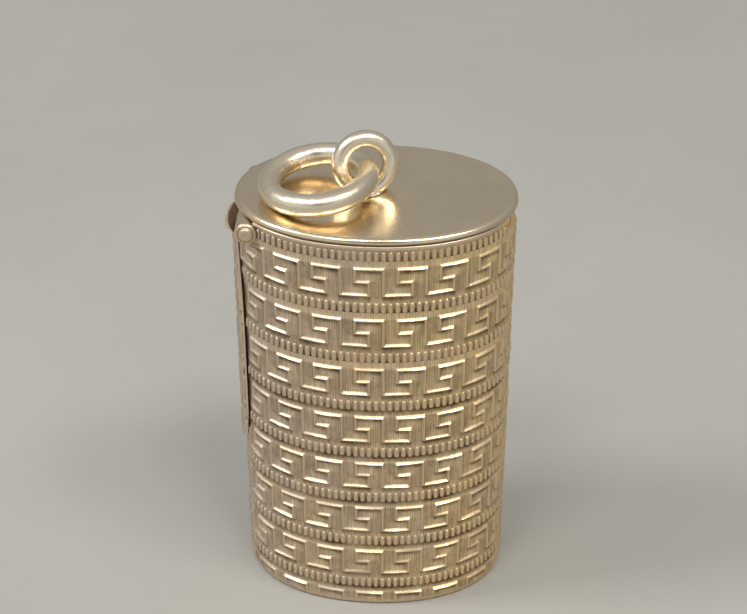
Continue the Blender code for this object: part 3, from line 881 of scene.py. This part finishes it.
def needle_mesh(mat):
    """A sharp with a long tapered point and a flattened eye, standing at the origin."""
    _, _, low, high = needle_place(0)
    top = high - low
    radius = 0.36
    stations = [(0.0, 0.02, 0.02), (1.2, 0.10, 0.10), (3.5, 0.22, 0.22), (7.0, 0.32, 0.32),
                (11.0, radius, radius), (top - 6.5, radius, radius), (top - 5.0, 0.33, 0.37),
                (top - 3.4, 0.22, 0.42), (top - 2.2, 0.20, 0.43), (top - 1.0, 0.20, 0.41),
                (top - 0.45, 0.18, 0.34), (top - 0.15, 0.13, 0.22), (top, 0.05, 0.08)]
    angle = 2 * pi * np.arange(28) / 28
    rings = []
    for z in np.unique(np.concatenate([[s[0] for s in stations], np.linspace(top - 5, top, 24)])):
        across = np.interp(z, [s[0] for s in stations], [s[1] for s in stations])
        along = np.interp(z, [s[0] for s in stations], [s[2] for s in stations])
        rings.append(np.column_stack([across * np.cos(angle), along * np.sin(angle), np.full(28, z)]))
    needle = new_object("needle", new_mesh("needle", *skin(rings), 50))
    eye = arc((0, top - 0.95), 0.17, 0, 180, 10) + arc((0, top - 2.6), 0.17, 180, 360, 10)
    groove = arc((0, top - 0.75), 0.10, 0, 180, 8) + arc((0, top - 3.9), 0.10, 180, 360, 8)
    grooves = (prism(groove, "X", 0.155, 1), prism(groove, "X", -1, -0.155))
    carve(needle, prism(eye, "X", -1, 1), *grooves, smooth=50)
    needle.data.materials.append(mat)
    mesh = needle.data
    bpy.data.objects.remove(needle)
    return mesh


def needles(mat):
    mesh = needle_mesh(mat)
    for i, node in enumerate(needle_nodes()):
        x, y, low, _ = needle_place(i)
        needle = new_object(f"sharp_{i + 1}", mesh.copy())
        needle.location = (x * MM, y * MM, low * MM)
        needle.rotation_euler = (0, 0, 0.9 * i)
        dress(needle, mat, "case", [node])


# ---- lid ----
def lid(mat):
    low, high = LID_BOTTOM, LID_TOP
    rings = disc_rings(-0.30, low, True, wave=0.0)
    rings += [oval_ring(-0.20, low + 0.005), oval_ring(-0.10, low + 0.015), oval_ring(-0.03, low + 0.045)]
    round_edge = 0.46
    for turn in np.linspace(0, 1, 14) * pi / 2:
        rings.append(oval_ring(-round_edge * (1 - cos(turn)), high - round_edge * (1 - sin(turn))))
    rings += disc_rings(-round_edge - 0.05, high, wave=0.03, seed=5.0)
    return new_piece("lid_top", skin(rings), mat, "lid", ["lid_plate"], 60)


def lid_flange(mat):
    """The inner collar that guides the lid, open towards the hinge."""
    outer = FLANGE_HIGH[1] - HALF_DEPTH
    wall, low, high = 0.35, FLANGE_LOW[2], FLANGE_HIGH[2]
    profile = [(outer, high), (outer, low + 0.12), (outer - 0.05, low + 0.03), (outer - 0.13, low),
               (outer - wall + 0.13, low), (outer - wall + 0.04, low + 0.04), (outer - wall, low + 0.12),
               (outer - wall, high)]
    rings = [oval_ring(offset, z) for offset, z in profile]
    flange = new_object("lid_collar", new_mesh("lid_collar", *skin(rings, True)))
    box = [(-HALF_WIDTH, low - MARGIN), (FLANGE_LOW[0], low - MARGIN),
           (FLANGE_LOW[0], high + MARGIN), (-HALF_WIDTH, high + MARGIN)]
    carve(flange, prism(box, "Y", -HALF_DEPTH, HALF_DEPTH))
    return dress(flange, mat, "lid", ["lid_flange"])


def lid_knuckle(mat):
    low, high = corners("lid_knuckle")
    leaf_top, leaf_bottom = high[2], high[2] - 0.35
    lift = leaf_bottom - HINGE[2]
    angle = atan2(lift, sqrt(KNUCKLE_RADIUS ** 2 - lift ** 2)) * 180 / pi
    outline = arc((HINGE[0], HINGE[2]), KNUCKLE_RADIUS, 90, 360 + angle, 60)
    outline += [(high[0], leaf_bottom), (high[0], leaf_top), (HINGE[0], leaf_top)]
    knuckle = new_object("lid_barrel", new_mesh("lid_barrel", *prism(outline, "Y", low[1], high[1])))
    bevel(knuckle, 0.05)
    reach = high[1] + MARGIN
    carve(knuckle, turned_along_y([(BORE_RADIUS, -reach), (BORE_RADIUS, reach)], HINGE[0], HINGE[2]))
    return dress(knuckle, mat, "lid", ["lid_knuckle"])


def loop_frame():
    """The loop's middle, with the unit vectors across it and up its leaning plane."""
    low, high = corners("hanging_loop")
    across = np.array([cos(LOOP_YAW), sin(LOOP_YAW), 0])
    back = np.array([-sin(LOOP_YAW), cos(LOOP_YAW), 0])
    up = back * sin(LOOP_LEAN) + np.array([0, 0, cos(LOOP_LEAN)])
    reach = LOOP_RADIUS * np.hypot(across, up) + LOOP_WIRE
    return np.array([(low[0] + high[0]) / 2, high[1] - reach[1], high[2] - reach[2]]), across, up


def hanging_loop(mat):
    """Round wire, a little flatter where it has been filed and worn by the ring."""
    centre, across, up = loop_frame()

    def wire(a):
        return LOOP_WIRE * (1 - 0.02 * (1 + cos(3 * a + 1)) / 2)

    loop = new_object("loop_wire", new_mesh("loop_wire", *torus(centre, LOOP_RADIUS, wire, across, up)))
    low = corners("hanging_loop")[0]
    box = [(centre[0] - 5, low[2] - 2), (centre[0] + 5, low[2] - 2),
           (centre[0] + 5, low[2] - 0.1), (centre[0] - 5, low[2] - 0.1)]
    carve(loop, prism(box, "Y", centre[1] - 5, centre[1] + 5))
    return dress(loop, mat, "lid", ["hanging_loop"])


def loop_foot(mat):
    """Solder that climbs round the foot of the loop in a hollow curve."""
    centre, across, up = loop_frame()
    along = np.array([-across[1], across[0], 0])
    foot, low = centre - up * LOOP_RADIUS, corners("loop_foot")[0][2]
    angle = 2 * pi * np.arange(96) / 96
    rings = []
    for reach, lift in ((1.0, 0.0), (0.93, 0.03), (0.80, 0.10), (0.70, 0.20), (0.63, 0.34), (0.58, 0.46)):
        spread = 1 + 0.05 * np.sin(3 * angle + 0.8) * reach
        flat = np.outer(1.62 * reach * spread * np.cos(angle), across)
        flat += np.outer(1.12 * reach * spread * np.sin(angle), along)
        rings.append(flat + np.array([foot[0], foot[1], low + lift]))
    return new_piece("loop_solder", skin(rings), mat, "lid", ["loop_foot"], 60)


def bow_ring(mat):
    low, high = corners("bow_ring")
    centre = (low + high) / 2
    towards = centre - RING_PIVOT
    radius = np.linalg.norm(towards)

    def wire(a):
        return RING_WIRE * (1 - 0.012 * (1 + sin(5 * a + 2)) / 2)

    shape = torus(centre, radius, wire, towards / radius, RING_AXIS, 220, 48)
    return new_piece("ring_wire", shape, mat, "ring", ["bow_ring"], 60)


# ---- side flap ----
def flap_flare(z):
    return FLARE_OUT * np.clip((z - FLARE_START) / (FLAP_HIGH[2] - FLARE_START), 0, 1) ** 1.3


def flap_outline():
    """The flap as seen from its end of the case: a rounded foot, a taper and a narrow lip."""
    low, high = FLAP_LOW[2], FLAP_HIGH[2]
    round_end = low + FLAP_ROUND * (1 - np.cos(np.linspace(0, pi / 2, 30)))
    heights = np.concatenate([round_end, np.linspace(FLAP_TAPER, FLARE_START, 12),
                              np.linspace(FLARE_START, high, 10)[1:]])
    right = [(flap_half(z), z) for z in heights]
    return right + [(-y, z) for y, z in right[:0:-1]]


def side_flap(mat):
    """A slab with the case's pattern on its outer face, cut to the outline, then flared."""
    patch = Patchwork()
    top, bottom = FLAP_HIGH[2], FLAP_LOW[2]
    rows = [(top + 0.4, None)] + pattern_rows(bottom - 0.4, top + 0.3) + [(bottom - 0.5, None)]
    inner = np.linspace(-FLAP_WINDOW, FLAP_WINDOW, 60)
    for z, shares in rows:
        shares = rows[1][1] if shares is None else shares
        shares = np.sort(wrapped(shares, 1.0))
        outer = shares[np.abs(shares) < FLAP_WINDOW]
        height, grime = relief(outer, z)
        x, y = around(outer, FLAP_THICK + GROUND_OFFSET + height + 0.01)
        ix, iy = around(inner[::-1], 0.0)
        points = np.column_stack([np.concatenate([x, ix]), np.concatenate([y, iy]),
                                  np.full(len(x) + len(ix), z)])
        places = np.concatenate([outer + FLAP_WINDOW, inner + 3 * FLAP_WINDOW]) / (4 * FLAP_WINDOW)
        zeros = np.zeros(len(ix))
        patch.add_row(places, points, np.concatenate([height / RIDGE_HEIGHT, zeros]),
                      np.concatenate([grime, zeros]))
    flap = new_object("patterned_flap", patch.slab("patterned_flap", FLAP_WINDOW))
    outline = prism(flap_outline(), "X", -HALF_WIDTH - 3, -HALF_WIDTH + 3)
    carve(flap, outline, operation="INTERSECT", smooth=50)
    for vertex in flap.data.vertices:
        vertex.co.x -= flap_flare(vertex.co.z / MM) * MM
    return dress(flap, mat, "flap", ["side_flap"])


def flap_arms(mat):
    """Cheeks that carry the flap on the hinge pin."""
    for name in ("front", "back"):
        low, high = corners("flap_arm_" + name)
        eye = high[2] - HINGE[2]
        heel = low[0]
        outline = arc((HINGE[0], HINGE[2]), eye, -50, 230, 48)
        outline += [(HINGE[0] - 0.12, HINGE[2] - 1.75), (heel, HINGE[2] - 2.5), (heel, HINGE[2] - 4.5),
                    (HINGE[0] + 0.45, HINGE[2] - 2.3)]
        arm = new_object("cheek_" + name, new_mesh("cheek_" + name, *prism(outline, "Y", low[1], high[1])))
        bevel(arm, 0.05)
        bore = [(BORE_RADIUS, low[1] - MARGIN), (BORE_RADIUS, high[1] + MARGIN)]
        carve(arm, turned_along_y(bore, HINGE[0], HINGE[2]))
        dress(arm, mat, "flap", ["flap_arm_" + name])


# ---- floor, light and camera ----
def floor():
    mesh = bpy.data.meshes.new("floor")
    half = 2.0
    points = [(-half, -half, 0), (half, -half, 0), (half, half, 0), (-half, half, 0)]
    mesh.from_pydata(points, [], [(0, 1, 2, 3)])
    obj = new_object("floor", mesh)
    obj.location.z = -0.00002
    mesh.materials.append(floor_paper())


def area_light(name, place, aim, size, power, colour):
    light = bpy.data.lights.new(name, "AREA")
    light.shape = "RECTANGLE"
    light.size, light.size_y = size
    light.energy = power
    light.color = colour
    obj = bpy.data.objects.new(name, light)
    obj.location = place
    obj.rotation_euler = (Vector(aim) - Vector(place)).to_track_quat("-Z", "Y").to_euler()
    bpy.context.scene.collection.objects.link(obj)


def lights():
    bpy.context.scene.view_settings.view_transform = "Standard"
    world = bpy.data.worlds.new("studio")
    world.use_nodes = True
    tree = world.node_tree
    background = tree.nodes["Background"]
    towards = add_node(tree, "TexCoord").outputs["Generated"]
    upward = coordinate(tree, towards, 2)
    ceiling = remap(tree, upward, 0.70, 0.92)
    forward = vector_math(tree, "DOT_PRODUCT", towards, (0.35, 1.0, 0.0))["Value"]
    back = mix(tree, remap(tree, upward, 0.51, 0.62), (0.33, 0.33, 0.33), (0.43, 0.43, 0.42))
    walls = mix(tree, remap(tree, forward, 0.15, -0.55), back, (0.62, 0.61, 0.58))
    room = mix(tree, ceiling, walls, (0.42, 0.41, 0.39))
    facing = vector_math(tree, "DOT_PRODUCT", towards, (0.0, -0.83, 0.56))["Value"]
    screen = remap(tree, facing, 0.93, 0.99)
    tree.links.new(mix(tree, screen, room, (0.10, 0.10, 0.10)), background.inputs["Color"])
    bpy.context.scene.world = world
    middle = (0, 0, 0.025)
    area_light("right", (0.229, -0.127, 0.451), middle, (0.12, 0.12), 0.58, (1.0, 0.93, 0.82))
    area_light("front", (0.106, -0.192, 0.474), middle, (0.10, 0.10), 0.42, (1.0, 0.95, 0.87))
    area_light("left", (-0.101, -0.201, 0.472), middle, (0.12, 0.12), 0.44, (1.0, 0.95, 0.88))
    area_light("side", (-0.292, -0.052, 0.391), middle, (0.10, 0.14), 0.70, (1.0, 0.97, 0.95))


def camera():
    azimuth, elevation, distance = radians(2.78), radians(34.17), 0.16028
    aim = Vector((0, 0, 0.0247))
    back = Vector((sin(azimuth) * cos(elevation), -cos(azimuth) * cos(elevation), sin(elevation)))
    cam = bpy.data.cameras.new("camera")
    cam.sensor_width = 36
    cam.lens = 85.36
    cam.clip_start = 0.005
    obj = bpy.data.objects.new("camera", cam)
    obj.location = aim + back * distance
    look = aim + Vector((-0.000234, 0, 0.003269))
    obj.rotation_euler = (look - obj.location).to_track_quat("-Z", "Y").to_euler()
    bpy.context.scene.collection.objects.link(obj)
    bpy.context.scene.camera = obj


camera()
lights()
floor()

PATTERNED = patterned_silver()
# The lid's silver paints a band of shade along its lower edge, for the gap above the mouth rim.
LID_SILVER = plain_silver("lid_silver", (0.90, 0.76, 0.55), (0.50, 0.40, 0.28), 0.22, wear=0.35,
                          dents=0.02, joint=LID_BOTTOM + 0.06)
EDGE_SILVER = plain_silver("edge_silver", (0.78, 0.65, 0.50), (0.36, 0.26, 0.17), 0.36, 1.6)
WIRE_SILVER = plain_silver("wire_silver", (0.96, 0.86, 0.68), (0.55, 0.42, 0.27), 0.28, 1.8, dents=0.06)
BASE_SILVER = plain_silver("base_silver", (0.74, 0.63, 0.47), (0.32, 0.24, 0.15), 0.33, 0.7,
                           (0.1, 0.9, 1.7, 2.5))
GILT = gilt()

patterned_shell(PATTERNED)
side_flap(PATTERNED)
base_plate(BASE_SILVER)
inner_liner(GILT)
mouth_rims(EDGE_SILVER)
body_knuckles(EDGE_SILVER)
hinge_pin(EDGE_SILVER)
felt_pad(felt())
needles(steel())
lid(LID_SILVER)
lid_flange(GILT)
lid_knuckle(EDGE_SILVER)
hanging_loop(WIRE_SILVER)
loop_foot(WIRE_SILVER)
bow_ring(WIRE_SILVER)
flap_arms(EDGE_SILVER)
